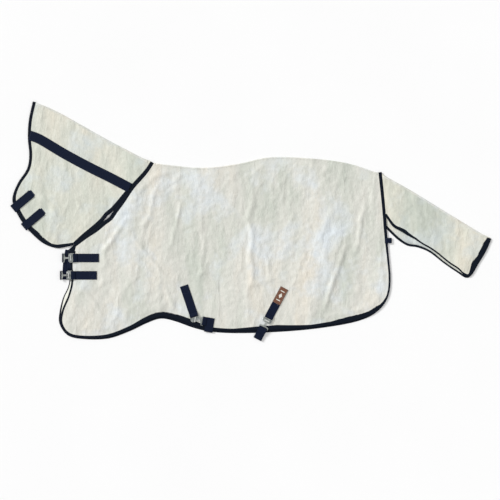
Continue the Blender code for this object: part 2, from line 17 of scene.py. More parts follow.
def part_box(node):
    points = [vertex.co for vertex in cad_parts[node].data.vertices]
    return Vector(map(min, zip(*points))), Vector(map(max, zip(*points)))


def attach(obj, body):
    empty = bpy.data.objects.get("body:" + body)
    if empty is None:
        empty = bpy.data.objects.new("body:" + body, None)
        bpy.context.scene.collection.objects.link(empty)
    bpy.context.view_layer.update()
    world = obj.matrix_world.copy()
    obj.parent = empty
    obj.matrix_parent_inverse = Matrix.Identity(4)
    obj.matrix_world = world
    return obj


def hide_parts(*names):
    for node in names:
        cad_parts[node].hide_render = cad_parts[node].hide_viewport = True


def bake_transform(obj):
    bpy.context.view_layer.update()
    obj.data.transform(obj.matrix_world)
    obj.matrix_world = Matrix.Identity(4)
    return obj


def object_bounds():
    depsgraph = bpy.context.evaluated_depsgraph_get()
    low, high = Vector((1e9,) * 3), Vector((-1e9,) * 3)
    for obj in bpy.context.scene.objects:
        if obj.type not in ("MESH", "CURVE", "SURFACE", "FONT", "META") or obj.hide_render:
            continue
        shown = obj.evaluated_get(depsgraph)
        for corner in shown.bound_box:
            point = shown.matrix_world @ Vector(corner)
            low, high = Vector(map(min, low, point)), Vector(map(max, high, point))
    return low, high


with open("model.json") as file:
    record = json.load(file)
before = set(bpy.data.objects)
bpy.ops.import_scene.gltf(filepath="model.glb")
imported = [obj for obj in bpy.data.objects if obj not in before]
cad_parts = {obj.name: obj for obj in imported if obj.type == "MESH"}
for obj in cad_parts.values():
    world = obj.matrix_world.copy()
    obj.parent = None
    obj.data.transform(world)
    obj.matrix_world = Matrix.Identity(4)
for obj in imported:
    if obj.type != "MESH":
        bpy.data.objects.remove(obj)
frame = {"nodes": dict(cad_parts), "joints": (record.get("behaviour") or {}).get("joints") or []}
CAD_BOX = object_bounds()
NODES = frame["nodes"]

CLOTH = 0.0007            # thickness of the mesh cloth
TUCK_IN = 0.0125          # how far the cloth reaches into its bindings
SEAM_TUCK = 0.0045        # and into its seam
AT_SEAM = 0.003           # an outline this close to a seam belongs to it
BAND_SPREAD = 0.10        # how far the neck's band spreads to each side, as a share of its width
LAYER_RISE = 0.0010       # a cloth's middle above the underside of its CAD node
STITCHED = (0.085, 0.915)         # where stitches run across a band, as shares of its width
SEW_MARGIN = 0.004        # from a strap's edge to its box stitch
LEFT_GRID = 0.0125        # vertex spacing of the left body cloth
SMALL_GRID = 0.014        # of the left neck and tail cloths
RIGHT_GRID = 0.026        # and of the right half's cloths
SIDES = ("left", "right")


# Reading the CAD nodes -------------------------------------------------------

def welded(node):
    """A copy of a CAD node's mesh with its split vertices joined."""
    shape = bmesh.new()
    shape.from_mesh(NODES[node].data)
    bmesh.ops.remove_doubles(shape, verts=shape.verts, dist=1e-6)
    return shape


def loops_of(chosen):
    """The closed boundary lines of the chosen faces, as lists of points, the longest first."""
    nexts = {}
    among = set(chosen)
    for face in chosen:
        for loop in face.loops:
            inner = [other for other in loop.edge.link_faces if other in among]
            if len(inner) == 1:
                nexts[loop.vert] = loop.link_loop_next.vert
    found = []
    while nexts:
        start, point = nexts.popitem()
        line = [start]
        while point != start:
            line.append(point)
            point = nexts.pop(point)
        first = min(range(len(line)), key=lambda k: tuple(line[k].co))
        found.append([vert.co.copy() for vert in line[first:] + line[:first]])
    return sorted(found, key=len, reverse=True)


def outline(node):
    """The outline of a flat node, from its top face."""
    shape = welded(node)
    top = max(vert.co.z for vert in shape.verts)
    chosen = [f for f in shape.faces if f.normal.z > 0.9 and f.calc_center_median().z > top - 1e-4]
    line = loops_of(chosen)[0]
    shape.free()
    return [point.to_2d() for point in line]


def rails(line):
    """The two long sides of a strip's outline, paired point by point."""
    count = len(line)
    half = count // 2

    def pairs(k):
        return [(line[(k + j) % count], line[(k - 1 - j) % count]) for j in range(half)]

    best = min((pairs(k) for k in range(count)), key=lambda ps: max((a - b).length for a, b in ps))
    return [a for a, _ in best], [b for _, b in best]


def strap(node):
    """A webbing node's centre line, its across direction, its width and its thickness."""
    shape = welded(node)
    shape.faces.ensure_lookup_table()
    widest = max(shape.faces, key=lambda f: len(f.verts) if abs(f.normal.z) < 0.05 else 0)
    across = widest.normal.copy()
    caps = [f for f in shape.faces if f.normal.dot(across) > 0.999]
    line = loops_of(caps)[0]
    reach = [vert.co.dot(across) for vert in shape.verts]
    width = max(reach) - min(reach)
    shape.free()
    one, other = rails(line)
    thickness = sum((a - b).length for a, b in zip(one, other)) / len(one)
    path = [(a + b) / 2 - across * width / 2 for a, b in zip(one, other)]
    return path, across, width, thickness


def joined(first, second):
    """One outline from two that share a straight cut."""
    def open_at_cut(line, other):
        nearest = sorted(range(len(line)), key=lambda i: min((line[i] - p).length for p in other))
        a, b = sorted(nearest[:2])
        return line[a:b + 1] if b - a > len(line) / 2 else line[b:] + line[:a + 1]
    return open_at_cut(first, second) + open_at_cut(second, first)


# Plane geometry --------------------------------------------------------------

def rows_of(points):
    """Points as the rows of an array."""
    return np.array([tuple(p) for p in points], float)


def area_of(line):
    """The signed area within a closed outline."""
    return sum(a.x * b.y - b.x * a.y for a, b in zip(line, line[1:] + line[:1])) / 2


def grown(line, seam):
    """A closed outline moved outwards into its bindings, and a little into its seam."""
    side = 1 if area_of(line) > 0 else -1
    moved = []
    places = rows_of(line)
    gaps = np.full(len(line), 1.0)
    for rail in rails(outline(seam)):
        gaps = np.minimum(gaps, distance_to(places, rows_of(rail), closed=False))
    reach = np.where(gaps < AT_SEAM, SEAM_TUCK, TUCK_IN)
    for before, point, after, distance in zip(line[-1:] + line, line, line[1:] + line[:1], reach):
        one = (point - before).normalized()
        two = (after - point).normalized()
        out = Vector((one.y + two.y, -one.x - two.x)) * side
        lean = max(0.35, out.length / 2)
        moved.append(point + out.normalized() * float(distance) / lean)
    return moved


def even(line, step, closed=False):
    """A line with points at even spacing."""
    points = rows_of(line + line[:1] if closed else line)
    lengths = norm(np.diff(points, axis=0), axis=1)
    along = np.concatenate([[0], np.cumsum(lengths)])
    count = max(2, int(round(along[-1] / step)) + 1)
    places = np.linspace(0, along[-1], count)[:-1 if closed else None]
    return np.column_stack([np.interp(places, along, points[:, k]) for k in range(points.shape[1])])


def distance_to(points, line, closed=True):
    """The distance from each point to a line of segments."""
    ends = np.roll(line, -1, axis=0) if closed else line[1:]
    starts = line if closed else line[:-1]
    best = np.full(len(points), 1e9)
    for a, b in zip(starts, ends):
        run = b - a
        share = np.clip(((points - a) @ run) / max(run @ run, 1e-12), 0, 1)
        best = np.minimum(best, norm(points - a - share[:, None] * run, axis=1))
    return best


def inside(points, line):
    """Which points lie within a closed outline."""
    hits = np.zeros(len(points), bool)
    for a, b in zip(line, np.roll(line, -1, axis=0)):
        if a[1] == b[1]:
            continue
        spans = (a[1] > points[:, 1]) != (b[1] > points[:, 1])
        cut = a[0] + (points[:, 1] - a[1]) * (b[0] - a[0]) / (b[1] - a[1])
        hits ^= spans & (points[:, 0] < cut)
    return hits


def resampled(one, other, step):
    """How far along each place is, then two paired lines cut evenly at those places."""
    middle = [(a + b) / 2 for a, b in zip(one, other)]
    lengths = np.concatenate([[0], np.cumsum([(a - b).length for a, b in zip(middle, middle[1:])])])
    places = np.linspace(0, lengths[-1], max(2, int(lengths[-1] / step)))
    return places, *(np.column_stack([np.interp(places, lengths, [p[k] for p in line]) for k in (0, 1)])
                     for line in (one, other))


def ease(share):
    """A smooth step from 0 to 1."""
    share = np.clip(share, 0, 1)
    return share * share * (3 - 2 * share)


# Materials -------------------------------------------------------------------

BLACK, WHITE = (0, 0, 0, 1), (1, 1, 1, 1)
MESH_PITCH = 0.0026       # from hole to hole


def linear(*colour):
    """A colour given in 0-255 display values, as linear values."""
    values = [c / 255 for c in colour]
    return tuple(c / 12.92 if c <= 0.04045 else ((c + 0.055) / 1.055) ** 2.4 for c in values) + (1,)


class Finish:
    """A procedural material, built node by node."""

    def __init__(self, name, roughness, metallic=0.0, sheen=0.0, specular=0.5):
        self.made = bpy.data.materials.new(name)
        self.made.use_nodes = True
        self.tree = self.made.node_tree
        self.shader = self.tree.nodes["Principled BSDF"]
        for key, value in (("Roughness", roughness), ("Metallic", metallic), ("Sheen Weight", sheen),
                           ("Sheen Roughness", 0.45), ("Specular IOR Level", specular)):
            self.shader.inputs[key].default_value = value

    def node(self, kind, values=(), **settings):
        made = self.tree.nodes.new("ShaderNode" + kind)
        for key, value in settings.items():
            setattr(made, key, value)
        for key, value in dict(values).items():
            if isinstance(value, bpy.types.NodeSocket):
                self.tree.links.new(value, made.inputs[key])
            else:
                made.inputs[key].default_value = value
        return made.outputs[0]

    def math(self, operation, *values):
        return self.node("Math", dict(enumerate(values)), operation=operation)

    def place(self, kind="Object"):
        made = self.tree.nodes.new("ShaderNodeTexCoord")
        return made.outputs[kind]

    def noise(self, where, scale, detail=3.0, rough=0.5):
        return self.node("TexNoise", {"Vector": where, "Scale": scale, "Detail": detail, "Roughness": rough})

    def ramp(self, factor, *stops):
        made = self.tree.nodes.new("ShaderNodeValToRGB")
        made.color_ramp.elements[0].position, made.color_ramp.elements[0].color = stops[0]
        made.color_ramp.elements[1].position, made.color_ramp.elements[1].color = stops[-1]
        for place, colour in stops[1:-1]:
            made.color_ramp.elements.new(place).color = colour
        self.tree.links.new(factor, made.inputs[0])
        return made.outputs[0]

    def mix(self, factor, one, other, blend="MIX"):
        made = self.tree.nodes.new("ShaderNodeMix")
        made.data_type, made.blend_type = "RGBA", blend
        for socket, value in ((made.inputs[0], factor), (made.inputs[6], one), (made.inputs[7], other)):
            if isinstance(value, bpy.types.NodeSocket):
                self.tree.links.new(value, socket)
            else:
                socket.default_value = value
        return made.outputs[2]

    def wave(self, where, axis, pitch):
        """A sine along one axis, between 0 and 1."""
        split = self.tree.nodes.new("ShaderNodeSeparateXYZ")
        self.tree.links.new(where, split.inputs[0])
        turn = self.math("MULTIPLY", split.outputs[axis], 2 * pi / pitch)
        return self.math("MULTIPLY_ADD", self.math("SINE", turn), 0.5, 0.5)

    def bump(self, height, distance, strength, after=None):
        values = {"Height": height, "Distance": distance, "Strength": strength}
        if after is not None:
            values["Normal"] = after
        return self.node("Bump", values)

    def finish(self, colour, normal=None, roughness=None):
        for key, value in (("Base Color", colour), ("Normal", normal), ("Roughness", roughness)):
            if value is not None:
                self.tree.links.new(value, self.shader.inputs[key])
        return self.made


def mesh_cloth(name, cream, painted_fold_shade, painted_sheen, painted_ridge_highlight, lean=0.10):
    """Fine knitted mesh: an open weave, soft creases, long streaks of painted fold shade and painted ridge
    highlight, blotches of painted bluish sheen, fine mottling of painted crinkle shade, a soft sheen.
    """
    f = Finish(name, 0.55, sheen=0.15, specular=0.35)
    where = f.place()

    def drawn_out(narrowed, turn):
        values = {"Vector": where, "Scale": (1.0, narrowed, 1.0), "Rotation": (0, 0, lean + turn)}
        return f.node("Mapping", values)

    long, slanted, crossed = drawn_out(0.42, 0), drawn_out(0.50, -0.65), drawn_out(0.50, 0.75)
    # Long streaks: painted fold shade in the grey-green, painted ridge highlight in the warm colour, the
    # cream between.
    shade_and_highlight_streaks = f.noise(drawn_out(0.30, 0), 4.4, 5.0, 0.62)
    colour = f.ramp(shade_and_highlight_streaks, (0.36, painted_fold_shade), (0.53, cream), (0.72, painted_ridge_highlight))
    # Blotches of painted bluish sheen.
    sheen_blotches = f.ramp(f.noise(where, 3.3, 5.0, 0.62), (0.50, BLACK), (0.68, WHITE))
    colour = f.mix(sheen_blotches, colour, painted_sheen)
    # Fine mottling, darker where the fine crinkle bump is low: painted crinkle shade.
    fine = f.noise(where, 60.0, 6.0, 0.72)
    colour = f.mix(0.42, colour, f.ramp(fine, (0.32, (0.78, 0.80, 0.77, 1)), (0.60, WHITE)), "MULTIPLY")
    holes = f.math("MULTIPLY", f.wave(where, 0, MESH_PITCH), f.wave(where, 1, MESH_PITCH))
    colour = f.mix(0.25, colour, f.ramp(holes, (0.02, WHITE), (0.85, (0.50, 0.52, 0.50, 1))), "MULTIPLY")
    relief = f.bump(f.noise(long, 3.6, 3.0, 0.50), 0.036, 0.8)
    relief = f.bump(f.noise(slanted, 11.0, 5.0, 0.64), 0.011, 0.7, relief)
    relief = f.bump(f.noise(crossed, 19.0, 5.0, 0.64), 0.006, 0.7, relief)
    for direction, scale, depth in ((slanted, 3.1, 0.0024), (crossed, 4.3, 0.0018)):
        away = f.math("ABSOLUTE", f.math("MULTIPLY_ADD", f.noise(direction, scale, 3.0, 0.5), 2.0, -1.0))
        relief = f.bump(f.math("POWER", f.math("SUBTRACT", 1.0, away), 12.0), depth, 0.7, relief)
    relief = f.bump(fine, 0.0016, 0.6, relief)
    return f.finish(colour, f.bump(holes, 0.0004, 0.30, relief))


def woven(name, base, high, pitch=0.0016, rough=0.62):
    """Woven tape: ribs across it, a slight herringbone, fuzz and wear on the ribs."""
    f = Finish(name, rough, specular=0.12)
    where = f.place("UV")
    ribs = f.wave(where, 0, pitch)
    cross = f.wave(where, 1, pitch * 0.8)
    weave = f.math("MULTIPLY", ribs, cross)
    wear = f.noise(f.place(), 45.0, 4.0, 0.6)
    colour = f.mix(f.math("MULTIPLY", weave, 0.5), base, high)
    colour = f.mix(f.math("MULTIPLY", wear, 0.30), colour, high)
    return f.finish(colour, f.bump(weave, 0.0005, 0.5, f.bump(wear, 0.0008, 0.3)))


def thread(name, colour):
    """Twisted sewing thread."""
    f = Finish(name, 0.5, specular=0.4)
    twist = f.noise(f.place(), 900.0, 1.0)
    shade = f.ramp(twist, (0.3, (0.4, 0.4, 0.4, 1)), (0.7, WHITE))
    return f.finish(f.mix(0.25, colour, shade, "MULTIPLY"), f.bump(twist, 0.0003, 0.3))


def plated(name):
    """Zinc-plated metal with rubbed edges, fine scratches and dull patches."""
    f = Finish(name, 0.3, metallic=1.0)
    where = f.place()
    patches = f.noise(where, 60.0, 4.0, 0.6)
    edges = f.tree.nodes.new("ShaderNodeNewGeometry").outputs["Pointiness"]
    colour = f.ramp(patches, (0.35, linear(96, 104, 104)), (0.65, linear(178, 184, 180)))
    colour = f.mix(f.ramp(edges, (0.5, BLACK), (0.6, WHITE)), colour, linear(238, 240, 236))
    scratches = f.noise(f.node("Mapping", {"Vector": where, "Scale": (40, 900, 300)}), 1.0, 2.0)
    rough = f.node("MapRange", {"Value": patches, "To Min": 0.20, "To Max": 0.42})
    return f.finish(colour, f.bump(scratches, 0.0002, 0.15), rough)


def label_stuff(name):
    """The brown, grained face of the label."""
    f = Finish(name, 0.55, specular=0.4)
    grain = f.noise(f.place(), 220.0, 4.0, 0.6)
    colour = f.ramp(grain, (0.3, linear(88, 54, 38)), (0.7, linear(128, 84, 60)))
    return f.finish(colour, f.bump(grain, 0.0004, 0.4))


def floor_stuff(name):
    """A pale, dull floor."""
    f = Finish(name, 0.9, specular=0.1)
    grain = f.noise(f.place(), 1.5, 2.0)
    return f.finish(f.ramp(grain, (0.3, (0.905, 0.905, 0.905, 1)), (0.7, (0.915, 0.915, 0.915, 1))))


# Each mesh's colours: its cream, then painted fold shade, painted bluish sheen and painted ridge highlight.
BODY_MESH = mesh_cloth("body_mesh", linear(222, 221, 213), linear(202, 206, 196), linear(222, 228, 232),
                       linear(226, 219, 206))
NECK_MESH = mesh_cloth("neck_mesh", linear(220, 220, 208), linear(201, 206, 195), linear(213, 220, 220),
                       linear(225, 219, 204), 0.45)
TAIL_MESH = mesh_cloth("tail_mesh", linear(220, 219, 206), linear(200, 205, 194), linear(212, 219, 218),
                       linear(226, 219, 203), 0.95)
UNDER_MESH = mesh_cloth("under_mesh", linear(216, 216, 206), linear(197, 203, 193), linear(209, 216, 217),
                        linear(222, 215, 200))
TAPE = woven("binding_tape", linear(2, 10, 22), linear(9, 22, 40), 0.0022)
WEBBING = woven("webbing", linear(5, 15, 34), linear(15, 29, 60))
PATCH = woven("patch", linear(24, 32, 54), linear(60, 70, 96), 0.0011, 0.9)
NAVY_THREAD = thread("navy_thread", linear(62, 72, 98))
CREAM_THREAD = thread("cream_thread", linear(214, 212, 200))
METAL = plated("plated_metal")
LABEL = label_stuff("label_face")
WHITE_PRINT = thread("label_print", linear(226, 224, 214))


# Meshes ----------------------------------------------------------------------

def added(name, data):
    """A new object in the scene."""
    made = bpy.data.objects.new(name, data)
    bpy.context.scene.collection.objects.link(made)
    return made


def piece(name, verts, faces, materials, uvs=None, smooth=True, slots=None):
    """An object from points and faces, uvs one per vertex."""
    mesh = bpy.data.meshes.new(name)
    mesh.from_pydata([tuple(v) for v in verts], [], faces)
    for finish in materials:
        mesh.materials.append(finish)
    if slots is not None:
        mesh.polygons.foreach_set("material_index", slots)
    if uvs is not None:
        layer = mesh.uv_layers.new(name="weave")
        flat = np.zeros(len(mesh.loops), np.int32)
        mesh.loops.foreach_get("vertex_index", flat)
        layer.data.foreach_set("uv", np.array(uvs, np.float32)[flat].ravel())
    mesh.polygons.foreach_set("use_smooth", [smooth] * len(mesh.polygons))
    mesh.validate()
    mesh.update()
    return added(name, mesh)


def sweep(rings, uvs):
    """Verts, faces and uvs of closed rings joined into a capped tube."""
    size = len(rings[0])
    verts = [point for ring in rings for point in ring]
    faces = []
    for k in range(len(rings) - 1):
        for i in range(size):
            j = (i + 1) % size
            faces.append((k * size + i, k * size + j, (k + 1) * size + j, (k + 1) * size + i))
    faces.append(tuple(range(size))[::-1])
    faces.append(tuple((len(rings) - 1) * size + i for i in range(size)))
    return verts, faces, [uv for ring in uvs for uv in ring]


def stitch_row(line, length=0.0035, gap=0.0017, width=0.0008, height=0.0004, step=0.001):
    """Small raised stitches along a line of 3D points: verts and faces."""
    points = even(list(line), step)
    run = length + gap
    count = int((len(points) - 1) * step / run)
    verts, faces = [], []
    for n in range(count):
        a = points[min(len(points) - 1, int((n * run + gap / 2) / step))]
        b = points[min(len(points) - 1, int((n * run + gap / 2 + length) / step))]
        along = b - a
        size = norm(along)
        if size < 1e-5:
            continue
        along = along / size
        side = np.cross((0, 0, 1), along)
        side = side / max(norm(side), 1e-6) * width / 2
        lift = np.array((0, 0, height))
        middle = (a + b) / 2
        base = len(verts)
        verts += [a, middle - side, b, middle + side, a * 0.7 + b * 0.3 + lift, a * 0.3 + b * 0.7 + lift]
        faces += [(base, base + 1, base + 4), (base + 1, base + 5, base + 4), (base + 1, base + 2, base + 5),
                  (base + 2, base + 3, base + 5), (base + 3, base + 4, base + 5), (base + 3, base, base + 4),
                  (base, base + 3, base + 2, base + 1)]
    return verts, faces


def with_stitches(name, body, rows, materials):
    """A swept body and its stitch rows as one object, the stitches in the second finish."""
    verts, faces, uvs = body
    verts, faces, uvs = list(verts), list(faces), list(uvs)
    slots = [0] * len(faces)
    for row in rows:
        more, sides = stitch_row(row)
        base = len(verts)
        verts += more
        uvs += [(0, 0)] * len(more)
        faces += [tuple(base + i for i in side) for side in sides]
        slots += [1] * len(sides)
    return piece(name, verts, faces, materials, uvs, slots=slots)


def lengthened(line, before, after):
    """A line carried straight on past both its ends."""
    first = line[0] + (line[0] - line[1]).normalized() * before
    last = line[-1] + (line[-1] - line[-2]).normalized() * after
    return [first] + line[1:-1] + [last]


def chained(nodes, panel):
    """The outer and inner lines of bindings in a row, from the end nearest the top of the rear."""
    line = rows_of(panel)
    strips = []
    for node in nodes:
        one, other = rails(outline(node))
        middle = len(one) // 2
        gaps = distance_to(rows_of((one[middle], other[middle])), line)
        strips.append((one, other) if gaps[0] > gaps[1] else (other, one))
    near, far = strips[0]
    if len(strips) > 1:
        meets = (strips[1][0][0], strips[1][0][-1])
        if min((near[0] - p).length for p in meets) < min((near[-1] - p).length for p in meets):
            near, far = near[::-1], far[::-1]
    for one, other in strips[1:]:
        if (one[-1] - near[-1]).length < (one[0] - near[-1]).length:
            one, other = one[::-1], other[::-1]
        near, far = near + one, far + other
    if (near[0] - TAPE_START).length > (near[-1] - TAPE_START).length:
        near, far = near[::-1], far[::-1]
    return near, far


def stations(places, marks):
    """Values along a tape from (share of its length, value) marks."""
    at, values = zip(*marks)
    return np.interp(places / places[-1], at, values)


def tape(name, nodes, panel, widths=((0, 1), (1, 1)), openings=((0, 0), (1, 0)), ends=(0, 0), step=0.006):
    """A folded binding tape along an edge: rolled at the outer edge, stitched at the inner one.

    Its width follows the CAD binding's times widths, it shifts inwards by openings, and it runs past both
    ends by the lengths in ends.
    """
    near, far = chained(nodes, panel)
    near, far = lengthened(near, *ends), lengthened(far, *ends)
    low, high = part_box(nodes[0])
    base, thick = low.z, high.z - low.z
    places, outer, inner = resampled(near, far, step)
    width, opening = stations(places, widths)[:, None], stations(places, openings)[:, None]
    across = (inner - outer) / norm(inner - outer, axis=1)[:, None]
    inner = outer + (inner - outer) * width + across * opening
    outer = outer + across * opening
    profile = [(0.0, 0.5), (0.03, 0.82), (0.10, 1.0), (0.45, 0.92), (0.80, 0.93), (0.86, 0.80), (0.92, 0.95),
               (0.99, 0.78), (1.0, 0.5), (0.99, 0.22), (0.92, 0.05), (0.86, 0.2), (0.80, 0.07), (0.45, 0.08),
               (0.10, 0.0), (0.03, 0.18)]
    rings, uvs, row = [], [], []
    for at, a, b in zip(places, outer, inner):
        pucker = 1 - 0.10 * (0.5 + 0.5 * sin(at * 2 * pi / 0.021)) * (0.6 + 0.4 * sin(at * 7.3))
        wander = 0.00025 * noise.noise(Vector((at * 9, base * 50, 1.7)))
        rings.append([(*(a + (b - a) * s), base + thick * (0.5 + (h - 0.5) * pucker) + wander)
                      for s, h in profile])
        uvs.append([(at, s * float(norm(b - a))) for s, _ in profile])
        row.append((*(a + (b - a) * 0.86), base + thick * (0.5 + 0.30 * pucker) + wander + 0.0001))
    return with_stitches(name, sweep(rings, uvs), [row], [TAPE, NAVY_THREAD])


def seam_roll(name, node, over, step=0.008):
    """A rolled seam that joins the left and right cloth along the top of the sheet."""
    one, other = rails(outline(node))
    middle = len(one) // 2
    gaps = distance_to(rows_of((one[middle], other[middle])), rows_of(over))
    if gaps[0] < gaps[1]:
        one, other = other, one
    low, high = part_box(node)
    outer = even([p.to_3d() for p in one], step)
    inner = even([p.to_3d() for p in other], step)
    inner = np.array([inner[min(len(inner) - 1, int(round(k * (len(inner) - 1) / (len(outer) - 1))))]
                      for k in range(len(outer))])
    thick = high.z - low.z
    crown = 1.04
    profile = [(-0.05, 0.45), (0.02, 0.72), (0.22, 0.93), (0.55, 1.03), (0.9, crown), (1.5, 1.02),
               (1.9, 0.96), (1.9, 0.90), (0.9, 0.80), (0.9, 0.12), (1.9, 0.13), (1.5, 0.02), (0.9, 0.0),
               (0.55, 0.0), (0.22, 0.08), (0.02, 0.22)]
    rings, uvs, row = [], [], []
    for k, (a, b) in enumerate(zip(outer, inner)):
        swell = 1 + 0.03 * sin(k * 1.9) + 0.03 * noise.noise(Vector((k * 0.21, 4.1, 0)))
        rings.append([(*(a + (b - a) * s)[:2], low.z + thick * h * (swell if h > 0.5 else 1))
                      for s, h in profile])
        uvs.append([(k * step, s * 0.006) for s, _ in profile])
        spot = a + (b - a) * 1.3
        row.append((spot[0], spot[1], low.z + thick * crown * swell))
    return with_stitches(name, sweep(rings, uvs), [row], [BODY_MESH, CREAM_THREAD])


def ribbon(name, path, across, width, thickness, rows=(), step=0.004):
    """A webbing strap along a path seen from its side, with rounded selvedges and stitch rows."""
    points = even(list(path), step)
    across = np.array(across)
    half, lip = width / 2, thickness / 2
    section = [(-half, 0), (-half + 0.0005, 0.75), (-half + 0.0018, 1.0), (-half + 0.0030, 0.86),
               (-half * 0.4, 0.93), (half * 0.4, 0.93), (half - 0.0030, 0.86), (half - 0.0018, 1.0),
               (half - 0.0005, 0.75), (half, 0)]
    section += [(x, -h) for x, h in section[-2:0:-1]]
    rings, uvs = [], []
    for k, point in enumerate(points):
        run = points[min(k + 1, len(points) - 1)] - points[max(k - 1, 0)]
        up = np.cross(across, run)
        up = up / max(norm(up), 1e-9) * lip
        rings.append([point + across * x + up * h for x, h in section])
        uvs.append([(k * step, x) for x, _ in section])
    return with_stitches(name, sweep(rings, uvs), rows, [WEBBING, NAVY_THREAD])


def box_stitch(corner, run, across, length, width, height):
    """The rows of a box-and-cross stitch on a strap."""
    corner, run, across = (np.array(v, float) for v in (corner, run, across))
    a, b = corner, corner + run * length
    c, d = b + across * width, a + across * width
    rows = [(a, b), (b, c), (c, d), (d, a), (a, c), (b, d)]
    return [[(*p[:2], height) for p in row] for row in rows]


# Cloth -----------------------------------------------------------------------

def spread(name, line, grid, height, finish, form):
    """A flat cloth that fills an outline, its height from form(points, distance to the edge)."""
    edge = even(line, grid, closed=True)
    low, high = edge.min(0), edge.max(0)
    xs = np.arange(low[0] + grid / 2, high[0], grid)
    ys = np.arange(low[1] + grid / 2, high[1], grid)
    field = np.array([(x, y) for y in ys for x in xs])
    field = field[inside(field, edge)]
    field = field[distance_to(field, edge) > grid * 0.55]
    points = [Vector(p) for p in np.vstack([edge, field])]
    verts, _, faces, _, _, _ = delaunay_2d_cdt(points, [], [list(range(len(edge)))], 1, 1e-7)
    flat = np.array([tuple(v) for v in verts])
    raised = height + form(flat, distance_to(flat, edge))
    made = piece(name, np.column_stack([flat, raised]), [tuple(f) for f in faces], [finish])
    shape = bmesh.new()
    shape.from_mesh(made.data)
    bmesh.ops.join_triangles(shape, faces=shape.faces, angle_face_threshold=pi, angle_shape_threshold=0.8)
    bmesh.ops.recalc_face_normals(shape, faces=shape.faces)
    if sum(f.normal.z for f in shape.faces) < 0:
        bmesh.ops.reverse_faces(shape, faces=shape.faces)
    shape.to_mesh(made.data)
    shape.free()
    return made


def places_of(mesh):
    """A mesh's vertex places, one per row."""
    values = np.zeros(len(mesh.vertices) * 3, np.float32)
    mesh.vertices.foreach_get("co", values)
    return values.reshape(-1, 3)


def settle(made, hold, slack, bed, cap, frames=22):
    """Let a cloth with a little slack settle on the layer below, held where it is sewn or strapped.

    The bed is the height of the layer below, and the cap is how far the cloth may move.
    """
    held = [int(i) for i in np.nonzero(hold < 0.05)[0]]
    made.vertex_groups.new(name="held").add(held, 1.0, "REPLACE")
    rest = places_of(made.data)
    low, high = rest.min(0) - 1, rest.max(0) + 1
    corners = ((low[0], low[1]), (high[0], low[1]), (high[0], high[1]), (low[0], high[1]))
    under = piece("bed", [(x, y, bed) for x, y in corners], [(0, 1, 2, 3)], [BODY_MESH])
    under.modifiers.new("solid", "COLLISION")
    under.collision.thickness_outer = 0.001
    cloth = made.modifiers.new("cloth", "CLOTH")
    s = cloth.settings
    s.quality, s.mass, s.air_damping = 6, 0.08, 2.0
    s.tension_stiffness = s.compression_stiffness = 12.0
    s.shear_stiffness, s.bending_stiffness = 4.0, 0.35
    s.vertex_group_mass = "held"
    s.shrink_min = -slack
    s.effector_weights.gravity = 0.25
    cloth.collision_settings.distance_min = 0.001
    cloth.point_cache.frame_end = frames
    scene = bpy.context.scene
    for n in range(1, frames + 1):
        scene.frame_set(n)
    values = places_of(made.evaluated_get(bpy.context.evaluated_depsgraph_get()).to_mesh())
    made.modifiers.remove(cloth)
    scene.frame_set(1)
    bpy.data.objects.remove(under)
    free = ease(hold)[:, None]
    moved = np.clip(values - rest, -0.006, cap)
    result = rest + moved * free
    result[:, 2] = np.clip(result[:, 2], rest[:, 2].min(), rest[:, 2].min() + cap)
    made.data.vertices.foreach_set("co", result.astype(np.float32).ravel())
    made.data.update()


def thicken(made, levels):
    """Subdivide the settled cloth and give it its thickness, applied."""
    if levels:
        smooth = made.modifiers.new("smooth", "SUBSURF")
        smooth.levels = smooth.render_levels = levels
        smooth.boundary_smooth = "PRESERVE_CORNERS"
    solid = made.modifiers.new("solid", "SOLIDIFY")
    solid.thickness, solid.offset = CLOTH, 0.0
    graph = bpy.context.evaluated_depsgraph_get()
    mesh = bpy.data.meshes.new_from_object(made.evaluated_get(graph))
    made.modifiers.clear()
    made.vertex_groups.clear()
    made.data = mesh
    mesh.polygons.foreach_set("use_smooth", [True] * len(mesh.polygons))


def ridge(points, start, end, height, width):
    """A soft fold between two points, highest in its middle."""
    a, b = np.array(start), np.array(end)
    run = b - a
    share = ((points - a) @ run) / (run @ run)
    off = (points - a) @ np.array((-run[1], run[0])) / norm(run)
    wander = np.array([noise.noise(Vector((v * 5 + start[0] * 31, start[1] * 17, 0.3))) for v in share])
    off = np.abs(off + wander * width * 0.9)
    ends = ease(share * 3) * ease((1 - share) * 3) * (0.75 + 0.5 * wander)
    return height * ends * np.exp(-(off / width) ** 2)


def crumple(points, size, seed, scale=3.2):
    """A light crumple: the rise at each point."""
    return np.array([size * noise.fractal(Vector((x * scale, y * scale, seed)), 1.0, 2.0, 4)
                     for x, y in points])


def folds_on(line, folds, size, seed, straps):
    """A height function: folds at places given as shares of the outline's box, and a light crumple."""
    ends = rows_of(line)
    low, span = ends.min(0), np.ptp(ends, axis=0)

    def form(points, edge):
        rise = crumple(points, size, seed)
        for a, b, height, width in folds:
            rise = rise + ridge(points, low + span * a, low + span * b, height, width)
        return np.maximum(rise, -0.0006) * freedom(points, edge, straps)
    return form


def freedom(points, edge, straps):
    """How free the cloth is at each point: 0 where it is sewn or lies under a strap, 1 in the open."""
    share = ease((edge - 0.012) / 0.045)
    for node in straps:
        low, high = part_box(node)
        gap = np.maximum(np.maximum(np.array(low.xy) - points, points - np.array(high.xy)), 0)
        share = share * ease((norm(gap, axis=1) - 0.006) / 0.035)
    return share


# Camera, light and floor -----------------------------------------------------

CAMERA_OFF = (0.1433, -0.0158)    # from the middle of the body's panel
CAMERA_HEIGHT = 6.673
LENS = 85                 # millimetres
DOME_POWER = 0.60
LAMPS = (                 # name, where it shines from, how broad in degrees, power
    ("key", (-0.85, 0.50, 0.42), 14, 3.1),
    ("fill", (0.6, -0.5, 1.2), 60, 0.35),
)


